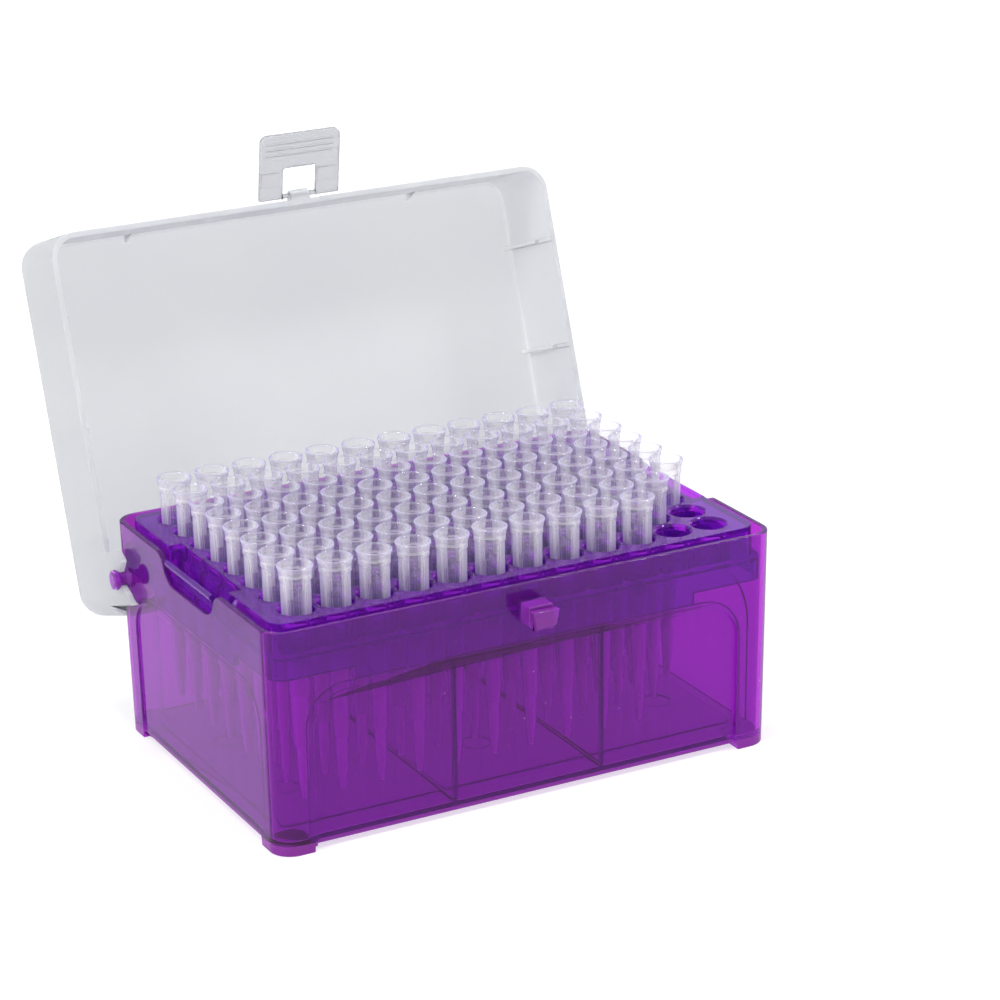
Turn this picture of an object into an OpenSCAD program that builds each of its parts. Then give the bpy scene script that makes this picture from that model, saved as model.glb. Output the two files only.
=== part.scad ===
// Hinged box of filter tips on the 9 mm plate grid. A footed base carries a drop-in rack of
// 96 wells, a lid turns on two moulded pins and a latch swings on the lid's front lug.
// Millimetres, +Z up, front at -Y, shown with the lid open.
// The origin is the centre of the floor's underside.

/* [Tip grid] */
// Distance between neighbouring tips
pitch = 9; // [8.8:0.05:9.1]

/* [Base] */
// Outside length at the rim
base_l = 121; // [120:0.5:130]
// Outside width at the rim
base_w = 83.4; // [82:0.2:92]
// Floor underside to rim
base_h = 48.8; // [46:0.2:60]
// Wall thickness
base_wall = 1.3; // [1.1:0.05:1.6]
// Floor thickness
floor_t = 1.6; // [1.2:0.1:2.4]
// Outside corner radius
base_corner_r = 5; // [4:0.5:6]
// Wall draft in degrees
draft = 0.75; // [0.3:0.05:1.1]
// Bevel around the rim's outer edge
rim_bevel = 0.5; // [0.2:0.05:0.6]

/* [Feet and wall panels] */
// Foot height below the floor
foot_h = 1.3; // [0.8:0.1:3]
// Foot length along X
foot_l = 8.4; // [7:0.1:8.5]
// Foot length along Y
foot_w = 9; // [7:0.1:9.4]
// Inner corner radius of a foot
foot_r = 2.5; // [1:0.1:3]
// Corner post width beside the long walls' arched panels
long_post = 9.2; // [9.2:0.1:12]
// Corner post width beside the short walls' arched panels
short_post = 9.4; // [9.4:0.1:12]
// Rim to the top of the long walls' panels
long_arch_drop = 15; // [14.6:0.1:18]
// Rim to the top of the short walls' panels
short_arch_drop = 15.6; // [15:0.1:18]
// How far the long walls' panels are set in
long_arch_depth = 1.2; // [0.8:0.1:1.4]
// How far the short walls' panels are set in
short_arch_depth = 0.55; // [0.3:0.05:0.8]
// Corner radius of the panels
arch_r = 8; // [5:0.5:12]
// Thickness of the shelf above a panel
shelf_t = 1.2; // [0.9:0.1:1.6]
// Centre to the upright stiffener inside a long panel
stiffener_x = 17.8; // [10:0.2:30]
// Stiffener thickness
stiffener_t = 0.7; // [0.5:0.1:1.2]
// Stiffener depth
stiffener_d = 0.9; // [0.5:0.1:1.5]
// Height of the rib that joins two stiffeners across the floor
floor_rib_h = 0.8; // [0.5:0.1:1.2]
// How far that rib is wider than a stiffener, on each side
floor_rib_side = 0.1; // [0.1:0.05:0.4]
// Height of the floor's raised middle
floor_pad_h = 0.3; // [0.2:0.1:0.4]
// Outside of a short wall to the raised middle
floor_pad_x = 4.5; // [4:0.1:6]
// Outside of a long wall to the raised middle
floor_pad_y = 8.5; // [6:0.1:10]

/* [Finger notches] */
// Half width of a notch at the rim
notch_half = 14.4; // [14:0.1:17]
// Rim to the bottom of a notch
notch_d = 6.1; // [5:0.1:6.5]
// How much narrower each side is at the bottom
notch_slope = 2.8; // [1:0.1:3]
// Radius in the bottom corners
notch_r = 3; // [1:0.1:3.5]

/* [Hinge pins] */
// Back face to the pin's axis
pin_inset = 7.7; // [7:0.1:9]
// Rim to the pin's axis
pin_drop = 12; // [11:0.1:13]
// Pin radius
pin_r = 1.6; // [1.3:0.05:1.8]
// Collar radius at the wall
collar_r = 2.1; // [1.9:0.05:2.4]
// Head radius
head_r = 2.3; // [2.1:0.05:2.6]
// Head thickness
head_t = 1.5; // [1:0.1:2]
// Radius of the blind hole that cores the pin
core_r = 0.9; // [0.5:0.05:1]

/* [Catch] */
// Catch root width
catch_w = 5.8; // [4.8:0.1:6]
// Rim to the catch's top
catch_drop = 3.9; // [3.6:0.1:4.4]
// Catch root height
catch_h = 4.5; // [4:0.1:5]
// How far the root stands out from the rim's face
catch_root = 3.9; // [3.7:0.1:4.2]
// How far the head stands out
catch_reach = 6.3; // [6:0.1:6.8]
// Head thickness
catch_head_t = 1.7; // [1.4:0.1:1.8]
// Head width at its top
catch_head_w = 6.3; // [5.6:0.1:6.5]
// Head width at its bottom
catch_foot_w = 4.4; // [3:0.1:5]
// Play at each side of the catch in the lid's notch
catch_play = 1.6; // [1:0.1:2]

/* [Rack] */
// Deck top above the base's rim
deck_rise = 0.7; // [0.3:0.1:1.2]
// Deck thickness
deck_t = 1.5; // [1:0.1:2]
// Rack wall thickness
rack_wall = 1.2; // [1:0.1:1.4]
// Play between the rack's skirt and the base
rack_gap = 0.25; // [0.15:0.05:0.4]
// Step from the skirt in to the deck along X
step_x = 1; // [0.8:0.1:1.2]
// Step from the skirt in to the deck along Y
step_y = 1.8; // [1.4:0.1:2]
// Deck top to the step
step_d = 6.6; // [6:0.1:7.2]
// Deck top to the skirt's bottom at the corners
skirt_d = 11.7; // [10:0.1:13]
// Half length of the deep tongue on a long side
long_tongue = 40.5; // [30:0.5:45]
// Half length of the deep tongue on a short side
short_tongue = 21; // [17:0.5:25]
// Well radius
well_r = 3.75; // [3.5:0.05:3.9]
// Depth of a well down to its seat
well_d = 7.3; // [7:0.1:8]
// Thickness of a well's seat
seat_t = 1.2; // [0.8:0.1:1.6]
// Wall around a well
well_wall = 0.6; // [0.5:0.05:0.65]
// Bevel at a well's mouth
well_bevel = 0.5; // [0.3:0.05:0.55]
// Thickness of the webs that join the wells
web_t = 0.8; // [0.6:0.1:1.2]

/* [Rack grips] */
// Half length of the slot behind a grip
slot_half = 16; // [15:0.5:18]
// Deck edge to the slot's inner side
slot_d = 3; // [2.8:0.1:3]
// Deck top to the shelf inside the slot
slot_shelf_d = 2.5; // [2:0.1:3.5]
// Half length of a grip
grip_half = 12; // [10:0.2:12.4]
// Grip thickness
grip_t = 1.1; // [0.9:0.1:1.3]
// Height of a grip's upright foot
grip_foot_h = 1.3; // [1:0.1:1.6]
// Radius of a grip's outward curl
grip_curl = 3.1; // [2.6:0.1:3.3]
// Radius of the bead along a grip's edge
grip_bead = 0.65; // [0.55:0.05:0.75]

/* [Lid] */
// Wall thickness
lid_wall = 1.3; // [1:0.1:1.5]
// Rim to top, outside
lid_h = 23.4; // [22:0.2:35]
// How far the closed lid laps over the base
lid_lap = 5.5; // [4.8:0.1:5.6]
// Play at each side
lid_side_gap = 0.95; // [0.9:0.05:1.2]
// Play at the front
lid_front_gap = 0.6; // [0.4:0.1:0.8]
// Play at the back
lid_back_gap = 0.2; // [0.2:0.05:0.4]
// Outside corner radius
lid_corner_r = 6; // [5:0.5:7]
// Rounding along the top's outer edge
lid_edge_r = 2; // [1:0.1:3]
// Opening angle in degrees
open_angle = 109; // [100:1:115]
// Half length of a hinge ear
ear_half = 6.1; // [5.5:0.1:6.4]
// Ear height below the pin's axis
ear_drop = 3.5; // [3.2:0.1:4]
// Distance between the guide ribs on a side wall
rib_pitch = 25.5; // [20:0.5:26]
// Rib thickness
rib_t = 0.9; // [0.6:0.1:1.4]
// Rib depth above the base's rim
rib_d = 1.5; // [1.2:0.1:1.8]
// Centre to a front gusset
gusset_x = 36.5; // [25:0.5:45]
// Gusset length along the top panel
gusset_d = 3.3; // [2:0.1:5]
// Gusset length down the front wall
gusset_h = 11; // [6:0.5:14]

/* [Latch] */
// Latch width
latch_w = 20; // [16:0.5:24]
// Axis to the free end
latch_l = 15.3; // [13:0.1:18]
// Plate thickness
latch_t = 1.2; // [1:0.1:1.3]
// Corner radius at the free end
latch_r = 1.7; // [0.8:0.1:3]
// Window width
window_w = 8.5; // [7.5:0.1:10]
// Side of an arm to the raised pad on it
pad_side = 0.6; // [0.4:0.1:1]
// Radius of the bar that the latch turns on
bar_r = 0.55; // [0.45:0.05:0.6]
// Width of the lug that holds the bar
lug_w = 4.8; // [4:0.1:6]
// Lug radius around the bar
lug_r = 1.15; // [1.1:0.05:1.2]
// Swing from hanging down to the resting place, in degrees
latch_swing = 62.5; // [20:0.5:110]

/* [Tips] */
// Tip length
tip_l = 52; // [44:0.5:53]
// Rim to the shoulder that sits in the well
shoulder_d = 17; // [15:0.1:19]
// Rim radius
tip_rim_r = 3.85; // [3.6:0.05:4.1]
// Rim thickness
tip_rim_t = 0.5; // [0.3:0.05:0.8]
// Neck radius
neck_r = 3.25; // [3.1:0.05:3.4]
// Radius just above the shoulder
collar_end_r = 3.1; // [3:0.05:3.2]
// Radius just below the shoulder
shaft_r = 2.45; // [2.4:0.05:2.5]
// Radius at the point
point_r = 0.6; // [0.5:0.05:0.8]
// Bore radius at the point
orifice_r = 0.3; // [0.2:0.05:0.4]
// Length of the fine end
fine_l = 5; // [3:0.5:8]
// Radius where the fine end starts
fine_r = 1.15; // [1:0.05:1.3]
// Bore radius at the mouth
mouth_r = 3.3; // [3:0.05:3.5]
// Bore radius just above the filter
socket_r = 2.25; // [2.2:0.05:2.4]
// Rim to the filter's top
filter_drop = 15; // [13:0.1:16]
// Filter length
filter_l = 5; // [3:0.1:6]
// Filter radius at its top
filter_r = 2.07; // [2:0.01:2.1]

/* [Hidden] */
// The grid is 12 by 8, with one node for each column of tips and of filters.
columns = 12;
rows = 8;
$fn = 48;
hull_fn = 32;
layer = 0.01;
// Cutters reach this far past what they cut, and joined shapes run this far into each other.
over = 2;
bite = 0.4;

// Wells left empty, as [column, row]: columns count from the left and rows from the front.
empty_wells = [[11, 1], [12, 1], [12, 2]];

// Small gaps: a turning fit, a clearance between parts that pass, and a resting seat
turn_gap = 0.06;
pass_gap = 0.3;
seat_gap = 0.05;

// Half sizes of the base's outside at height z
function outer_x(z) = base_l / 2 - (base_h - z) * tan(draft);
function outer_y(z) = base_w / 2 - (base_h - z) * tan(draft);

// Hinge axis, the lid's ears on it and the pin's parts along X
pin_y = base_w / 2 - pin_inset;
pin_z = base_h - pin_drop;
ear_in = base_l / 2 + lid_side_gap;
ear_out = ear_in + lid_wall;
ear_play = 0.25;

// Rack heights, from the deck down to the shelves that carry it
deck_z = base_h + deck_rise;
step_z = deck_z - step_d;
shelf_z = base_h - long_arch_drop + shelf_t;
tongue_z = shelf_z + seat_gap;
seat_z = deck_z - well_d;
well_out_r = well_r + well_wall;
seat_hole_r = shaft_r + 0.15;

// Half sizes of the rack's skirt and of its deck
skirt_x = outer_x(shelf_z) - base_wall - rack_gap;
skirt_y = outer_y(shelf_z) - base_wall - rack_gap;
deck_x = skirt_x - step_x;
deck_y = skirt_y - step_y;
skirt_r = base_corner_r - base_wall - rack_gap;
deck_r = skirt_r;
slot_x = deck_x - slot_d;

// Lid outline, measured from the hinge axis with the lid closed
lid_front = -(pin_y + base_w / 2 + lid_front_gap + lid_wall);
lid_back = base_w / 2 - pin_y + lid_back_gap + lid_wall;
lid_mid = -pin_y;
rim_up = pin_drop;
lid_rim = rim_up - lid_lap;
lid_top = lid_rim + lid_h;
rib_step = rim_up + 0.1;
rib_low_d = 0.35;

// The back rim is cut so high that its outer edge meets the base's back wall at the opening angle.
stop_gap = 0.1;
function back_cut(wall_y) = (wall_y + stop_gap - lid_back * cos(open_angle)) / sin(open_angle);
first_cut = back_cut(pin_inset);
stop_z = pin_z - lid_back * sin(open_angle) + first_cut * cos(open_angle);
lid_back_rim = back_cut(outer_y(stop_z) - pin_y);

// Catch, notch above it in the lid's rim, and the latch's bar in its lug
catch_top = base_h - catch_drop;
catch_bottom = catch_top - catch_h;
catch_head_bottom = catch_bottom - 0.5;
catch_head_drop = 0.4;
catch_bevel = 1.2;
lid_notch_top = catch_top + pass_gap - pin_z;
lid_notch_half = catch_w / 2 + catch_play;
bar_out = lug_r + 0.1;
bar_y = lid_front - bar_out;
bar_z = lid_notch_top + lug_r;
lug_h = 3.2;
window_end = pass_gap + norm([pin_y + bar_y + base_w / 2 + catch_reach - catch_bevel,
                              pin_z + bar_z - catch_head_bottom]);

// Tips hang by their shoulders on the wells' seats.
tip_z = seat_z + shoulder_d;
filter_gap = 0.03;
filter_end_r = filter_r - 0.13;

function has_tip(column, row) = len([for (w = empty_wells) if (w == [column, row]) w]) == 0;
function well_x(column) = (column - (columns + 1) / 2) * pitch;
function well_y(row) = (row - (rows + 1) / 2) * pitch;

module rounded_square(x, y, r) {
    square([x - 2 * r, y], center = true);
    square([x, y - 2 * r], center = true);
    for (sx = [-1, 1], sy = [-1, 1]) translate([sx * (x / 2 - r), sy * (y / 2 - r)]) circle(r);
}

// A 2D outline in Y and Z, extruded along X about the middle
module across(width) {
    rotate([90, 0, 90]) linear_extrude(width, center = true) children();
}

// Moves its children to the wall's own frame: X along the wall, Y up from the rim, Z outward.
module on_walls(half, turns) {
    for (turn = turns)
        rotate([0, 0, turn]) translate([0, -half, base_h]) rotate([90 + draft, 0, 0]) children();
}

module on_long_walls() {
    on_walls(base_w / 2, [0, 180]) children();
}

module on_short_walls() {
    on_walls(base_l / 2, [90, 270]) children();
}

// A drafted block with rounded corners, from z0 up to z1
module drafted_block(z0, z1, inset, r, bevel) {
    hull() for (level = [[z0, 0], [z1 - bevel - layer, 0], [z1 - layer, bevel * 0.7]], sx = [-1, 1], sy = [-1, 1])
        translate([sx * (outer_x(level[0]) - inset - r), sy * (outer_y(level[0]) - inset - r), level[0]])
            cylinder(h = layer, r = r - level[1], $fn = hull_fn);
}

module arch_outline(half, drop, r) {
    low = -base_h - foot_h - over;
    translate([-half, low]) square([2 * half, -drop - r - low]);
    translate([r - half, low]) square([2 * (half - r), -drop - low]);
    for (side = [-1, 1]) translate([side * (half - r), -drop - r]) circle(r);
}

module arch(half, drop, depth, grow) {
    translate([0, 0, -depth - grow])
        linear_extrude(depth + grow + over) arch_outline(half + grow, drop - min(grow, shelf_t), arch_r + grow);
}

module foot_outline() {
    reach = 2 * over + foot_r;
    for (sx = [-1, 1], sy = [-1, 1])
        translate([sx * (outer_x(0) + (reach - foot_l) / 2), sy * (outer_y(0) + (reach - foot_w) / 2)])
            rounded_square(foot_l + reach, foot_w + reach, foot_r);
}

module base_outside() {
    difference() {
        drafted_block(-foot_h, base_h, 0, base_corner_r, rim_bevel);
        translate([0, 0, -foot_h - over]) linear_extrude(foot_h + over) difference() {
            square([base_l + 2 * over, base_w + 2 * over], center = true);
            foot_outline();
        }
        on_long_walls() arch(base_l / 2 - long_post, long_arch_drop, long_arch_depth, 0);
        on_short_walls() arch(base_w / 2 - short_post, short_arch_drop, short_arch_depth, 0);
    }
}

module base_cavity() {
    difference() {
        drafted_block(floor_t, base_h + over, base_wall, base_corner_r - base_wall, 0);
        on_long_walls() arch(base_l / 2 - long_post, long_arch_drop, long_arch_depth, base_wall);
        on_short_walls() arch(base_w / 2 - short_post, short_arch_drop, short_arch_depth, base_wall);
    }
}

module stiffeners() {
    inner = long_arch_depth + base_wall;
    height = base_h - floor_t - long_arch_drop + shelf_t;
    for (side = [-1, 1])
        translate([side * stiffener_x - stiffener_t / 2, floor_t - base_h - bite, -inner - stiffener_d])
            cube([stiffener_t, height, stiffener_d + bite]);
}

// The floor's raised middle, and a rib across the floor between each pair of stiffeners
module floor_ribs() {
    rib_half = outer_y(floor_t) - long_arch_depth - base_wall + bite;
    translate([0, 0, floor_t + (floor_pad_h - bite) / 2])
        cube([2 * (outer_x(0) - floor_pad_x), 2 * (outer_y(0) - floor_pad_y), floor_pad_h + bite], center = true);
    for (side = [-1, 1])
        translate([side * stiffener_x, 0, floor_t + (floor_rib_h - bite) / 2])
            cube([stiffener_t + 2 * floor_rib_side, 2 * rib_half, floor_rib_h + bite], center = true);
}

module finger_notch() {
    lean = atan(notch_slope / notch_d);
    centre_x = notch_half - notch_slope * (notch_d - notch_r) / notch_d - notch_r / cos(lean);
    touch = [centre_x + notch_r * cos(lean), notch_r - notch_d - notch_r * sin(lean)];
    above = notch_half + over * tan(lean);
    translate([0, 0, -3 * base_wall]) linear_extrude(4 * base_wall) {
        polygon([[-above, over], [-touch[0], touch[1]], [-centre_x, -notch_d],
                 [centre_x, -notch_d], touch, [above, over]]);
        for (side = [-1, 1]) translate([side * centre_x, notch_r - notch_d]) circle(notch_r);
    }
}

module along_pin(x0, x1, r) {
    translate([0, pin_y, pin_z]) rotate([0, 90, 0]) translate([0, 0, x0]) cylinder(h = x1 - x0, r = r);
}

module hinge_pin() {
    wall_x = outer_x(pin_z) - base_wall / 2;
    along_pin(wall_x, ear_in - ear_play, collar_r);
    along_pin(wall_x, ear_out + ear_play + bite, pin_r);
    along_pin(ear_out + ear_play, ear_out + ear_play + head_t, head_r);
}

module catch() {
    face = -base_w / 2;
    root_y = face - catch_root;
    head_y = face - catch_reach + catch_head_t;
    tip_y = face - catch_reach;
    head_top = catch_top - catch_head_drop;
    across(catch_w) polygon([[face + base_wall / 2, catch_bottom], [root_y, catch_bottom],
                             [root_y, catch_top], [face + base_wall / 2, catch_top]]);
    across(catch_foot_w) polygon([[root_y + bite, catch_bottom - 0.2], [head_y - bite, catch_bottom - 0.2],
                                  [head_y - bite, head_top - 0.6], [root_y + bite, head_top - 0.6]]);
    intersection() {
        translate([0, head_y, 0]) rotate([90, 0, 0]) linear_extrude(catch_head_t)
            polygon([[-catch_foot_w / 2, catch_head_bottom], [catch_foot_w / 2, catch_head_bottom],
                     [catch_head_w / 2, head_top], [-catch_head_w / 2, head_top]]);
        across(catch_head_w + over) polygon([[head_y, catch_head_bottom], [tip_y + catch_bevel, catch_head_bottom],
                                             [tip_y, catch_head_bottom + catch_bevel],
                                             [tip_y, head_top], [head_y, head_top]]);
    }
}

module base() {
    color("#7a2e9c") difference() {
        union() {
            difference() {
                base_outside();
                base_cavity();
                on_short_walls() finger_notch();
            }
            on_long_walls() stiffeners();
            floor_ribs();
            hinge_pin();
            mirror([1, 0, 0]) hinge_pin();
            catch();
        }
        for (side = [0, 1]) mirror([side, 0, 0])
            along_pin(outer_x(pin_z) - base_wall - over, ear_out + ear_play, core_r);
    }
}

// The rack's outside, hollowed from below; the deep tongues reach the base's shelves.
module rack_body() {
    under = step_z - rack_wall;
    difference() {
        union() {
            translate([0, 0, tongue_z]) linear_extrude(step_z - tongue_z)
                rounded_square(2 * skirt_x, 2 * skirt_y, skirt_r);
            translate([0, 0, step_z - bite]) linear_extrude(step_d + bite)
                rounded_square(2 * deck_x, 2 * deck_y, deck_r);
        }
        translate([0, 0, tongue_z - over]) linear_extrude(under - tongue_z + over)
            rounded_square(2 * (skirt_x - rack_wall), 2 * (skirt_y - rack_wall), skirt_r - rack_wall);
        translate([0, 0, under - over]) linear_extrude(deck_z - deck_t - under + over)
            rounded_square(2 * (deck_x - rack_wall), 2 * (deck_y - rack_wall), deck_r - rack_wall);
        for (sx = [-1, 1], sy = [-1, 1])
            translate([sx * (long_tongue + base_l / 2), sy * (short_tongue + base_w / 2), 0])
                cube([base_l, base_w, 2 * (deck_z - skirt_d)], center = true);
    }
}

// Walls around the slot at each end, and the webs and tubes under the deck
module rack_inside() {
    under = step_z - rack_wall;
    height = deck_z - deck_t - under + bite;
    for (side = [-1, 1]) {
        translate([side * (slot_x + deck_x - rack_wall) / 2, 0, under + height / 2])
            cube([deck_x - slot_x + rack_wall, 2 * (slot_half + rack_wall), height], center = true);
    }
    for (column = [1:columns])
        translate([well_x(column), 0, under + height / 2])
            cube([web_t, 2 * (deck_y - rack_wall + bite), height], center = true);
    for (row = [1:rows])
        translate([0, well_y(row), under + height / 2])
            cube([2 * (well_x(columns) + well_r), web_t, height], center = true);
    for (column = [1:columns], row = [1:rows])
        translate([well_x(column), well_y(row), seat_z - seat_t])
            cylinder(h = well_d + seat_t - deck_t + bite, r = well_out_r);
}

module well() {
    translate([0, 0, seat_z]) cylinder(h = well_d + over, r = well_r);
    translate([0, 0, seat_z - seat_t - over]) cylinder(h = seat_t + 2 * over, r = seat_hole_r);
    translate([0, 0, deck_z - well_bevel])
        cylinder(h = 2 * well_bevel, r1 = well_r, r2 = well_r + 2 * well_bevel);
}

// The slot behind a grip has a shelf halfway down, and the deck's end wall is open there.
module grip_slot() {
    shelf_x = slot_x + rack_wall;
    translate([slot_x, -slot_half, deck_z - slot_shelf_d])
        cube([slot_d + over, 2 * slot_half, slot_shelf_d + over]);
    translate([shelf_x, -slot_half, step_z]) cube([slot_d + over, 2 * slot_half, step_d + over]);
}

// A grip rises from the step, curls outward over the base's notch and ends in a bead.
module grip() {
    foot_x = skirt_x - grip_t / 2 - 0.1;
    curl_z = step_z + grip_foot_h;
    curl_end = 112;
    bead_r = grip_curl + 0.25;
    rotate([90, 0, 0]) linear_extrude(2 * grip_half, center = true) {
        translate([foot_x - grip_t / 2, step_z - bite]) square([grip_t, curl_z - step_z + bite]);
        translate([foot_x + grip_curl, curl_z]) intersection() {
            difference() {
                circle(grip_curl + grip_t / 2);
                circle(grip_curl - grip_t / 2);
            }
            polygon([[0, 0], [-2 * grip_curl, 0], [-2 * grip_curl, 2 * grip_curl],
                     2 * grip_curl * [cos(curl_end), sin(curl_end)]]);
        }
        translate([foot_x + grip_curl, curl_z] + bead_r * [cos(curl_end), sin(curl_end)]) circle(grip_bead);
    }
}

module tip_rack() {
    color("#5c1480") {
        difference() {
            union() {
                rack_body();
                rack_inside();
            }
            for (column = [1:columns], row = [1:rows]) translate([well_x(column), well_y(row), 0]) well();
            grip_slot();
            mirror([1, 0, 0]) grip_slot();
        }
        grip();
        mirror([1, 0, 0]) grip();
    }
}

// Moves its children from the closed lid's frame, on the hinge axis, to the open lid.
module on_lid() {
    translate([0, pin_y, pin_z]) rotate([-open_angle, 0, 0]) children();
}

// A block with rounded corners and a rounded top edge, over the lid's plan less an inset
module lid_block(z0, z1, inset, r, edge) {
    steps = 3;
    rings = [for (i = [0:steps]) [z1 - edge + edge * sin(90 * i / steps), edge * (1 - cos(90 * i / steps))]];
    hull() for (ring = concat([[z0, 0]], rings), x = [-1, 1], y = [lid_front + inset + r, lid_back - inset - r])
        translate([x * (ear_out - inset - r), y, ring[0] - layer]) cylinder(h = layer, r = r - ring[1], $fn = hull_fn);
}

// The closed lid's side view: the rim, the hinge ears below it and the relief at the back
module lid_outline() {
    bevel = 1.8;
    polygon([[lid_front - over, lid_rim], [-ear_half, lid_rim], [-ear_half, bevel - ear_drop],
             [bevel - ear_half, -ear_drop], [ear_half, -ear_drop], [ear_half, lid_back_rim],
             [lid_back + over, lid_back_rim], [lid_back + over, lid_top + over],
             [lid_front - over, lid_top + over]]);
}

// The seat for the pin, open downward through a narrower throat with a wide lead-in
module ear_slot() {
    throat_z = -pin_r / 2;
    throat = pin_r - 0.12;
    lead = 3.7;
    across(2 * (ear_out + over)) {
        circle(pin_r + turn_gap);
        polygon([[-throat, 0], [-throat, throat_z], [-lead, -ear_drop - layer], [lead, -ear_drop - layer],
                 [throat, throat_z], [throat, 0]]);
    }
}

module guide_ribs() {
    for (side = [-1, 1], i = [-1:1]) {
        y = lid_mid + i * rib_pitch - rib_t / 2;
        translate([side > 0 ? ear_in - rib_d : -ear_in - bite, y, rib_step])
            cube([rib_d + bite, rib_t, lid_top - lid_wall - rib_step + bite]);
        translate([side > 0 ? ear_in - rib_low_d : -ear_in - bite, y, lid_rim])
            cube([rib_low_d + bite, rib_t, rib_step - lid_rim + bite]);
    }
}

module gussets() {
    inner_y = lid_front + lid_wall - bite;
    inner_z = lid_top - lid_wall + bite;
    for (side = [-1, 1]) translate([side * gusset_x, 0, 0])
        across(rib_t) polygon([[inner_y, inner_z], [inner_y + gusset_d + bite, inner_z], [inner_y, inner_z - gusset_h]]);
}

module latch_lug() {
    across(lug_w) {
        translate([bar_y, bar_z]) circle(lug_r);
        polygon([[lid_front + bite, bar_z - lug_r], [bar_y, bar_z - lug_r], [bar_y, bar_z + lug_r],
                 [lid_front + bite, bar_z - lug_r + lug_h]]);
    }
}

module lid() {
    color("#dfe2e8") on_lid() difference() {
        union() {
            intersection() {
                difference() {
                    lid_block(-ear_drop - over, lid_top, 0, lid_corner_r, lid_edge_r);
                    lid_block(-ear_drop - 2 * over, lid_top - lid_wall, lid_wall, lid_corner_r - lid_wall, 0.8);
                }
                across(2 * (ear_out + over)) lid_outline();
            }
            guide_ribs();
            gussets();
            latch_lug();
        }
        ear_slot();
        translate([-lid_notch_half, lid_front - layer, lid_rim - over])
            cube([2 * lid_notch_half, lid_wall + 2 * layer, lid_notch_top - lid_rim + over]);
        translate([0, bar_y, bar_z]) rotate([0, 90, 0]) cylinder(h = lug_w + over, r = bar_r + turn_gap, center = true);
    }
}

// The latch hangs from its bar at the origin of this frame, and its plate runs down along -Z.
module latch_hanging() {
    arm_w = (latch_w - window_w) / 2;
    pad_t = 0.35;
    rotate([90, 0, 0]) linear_extrude(latch_t, center = true) difference() {
        union() {
            translate([-latch_w / 2, latch_r - latch_l]) square([latch_w, latch_l - latch_r]);
            translate([latch_r - latch_w / 2, -latch_l]) square([latch_w - 2 * latch_r, latch_r + bite]);
            for (side = [-1, 1]) translate([side * (latch_w / 2 - latch_r), latch_r - latch_l]) circle(latch_r);
        }
        translate([-window_w / 2, -window_end]) square([window_w, window_end + over]);
    }
    for (side = [-1, 1]) {
        translate([side * (window_w + arm_w) / 2, 0, 0]) rotate([0, 90, 0])
            cylinder(h = arm_w, r = latch_t / 2, center = true);
        translate([side * (window_w + arm_w) / 2, -latch_t / 2 - pad_t / 2 + bite / 2, -window_end * 0.6])
            cube([arm_w - 2 * pad_side, pad_t + bite, window_end / 2], center = true);
    }
    rotate([0, 90, 0]) cylinder(h = window_w + 2 * bite, r = bar_r, center = true);
}

module latch() {
    color("#e4e8ee") on_lid() translate([0, bar_y, bar_z]) rotate([-latch_swing, 0, 0]) latch_hanging();
}

// Tip radii along its length, with z measured down from the rim: outside first, then the bore
module tip() {
    flare = 2.7;
    bead = 0.12;
    fine_z = fine_l - tip_l;
    color("#e9e6f2") rotate_extrude() polygon([
        [tip_rim_r, 0], [tip_rim_r, -tip_rim_t], [neck_r + bead, -flare], [neck_r + bead, -flare - 0.3],
        [neck_r, -flare - 0.5], [collar_end_r, -shoulder_d], [shaft_r, -shoulder_d],
        [fine_r, fine_z], [point_r, -tip_l],
        [orifice_r, -tip_l], [fine_r - 0.35, fine_z],
        [filter_end_r + filter_gap, -filter_drop - filter_l], [filter_r + filter_gap, -filter_drop],
        [socket_r, -filter_drop + 0.5], [neck_r - 0.45, -flare], [mouth_r, 0]]);
}

module tip_column(column) {
    for (row = [1:rows]) if (has_tip(column, row))
        translate([well_x(column), well_y(row), tip_z]) tip();
}

module filter_column(column) {
    color("white") for (row = [1:rows]) if (has_tip(column, row))
        translate([well_x(column), well_y(row), tip_z - filter_drop - filter_l])
            cylinder(h = filter_l, r1 = filter_end_r, r2 = filter_r);
}

base();
tip_rack();
lid();
latch();
for (column = [1:columns]) {
    number = str(column < 10 ? "0" : "", column);
    tip_column(column);
    filter_column(column);
}
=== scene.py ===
# %% [markdown]
# # A box of pipette tips
# The object is a hinged laboratory box: a clear purple base on four feet, a drop-in rack with 96 wells,
# 93 filter tips, a frosted lid that stands open and a small clear latch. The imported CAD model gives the
# frame: every piece below is modelled over it, in the same place and at the same size, and moves with it.
# %% Load the frame
import math

import bmesh
import bpy
from mathutils import Matrix, Vector


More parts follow.
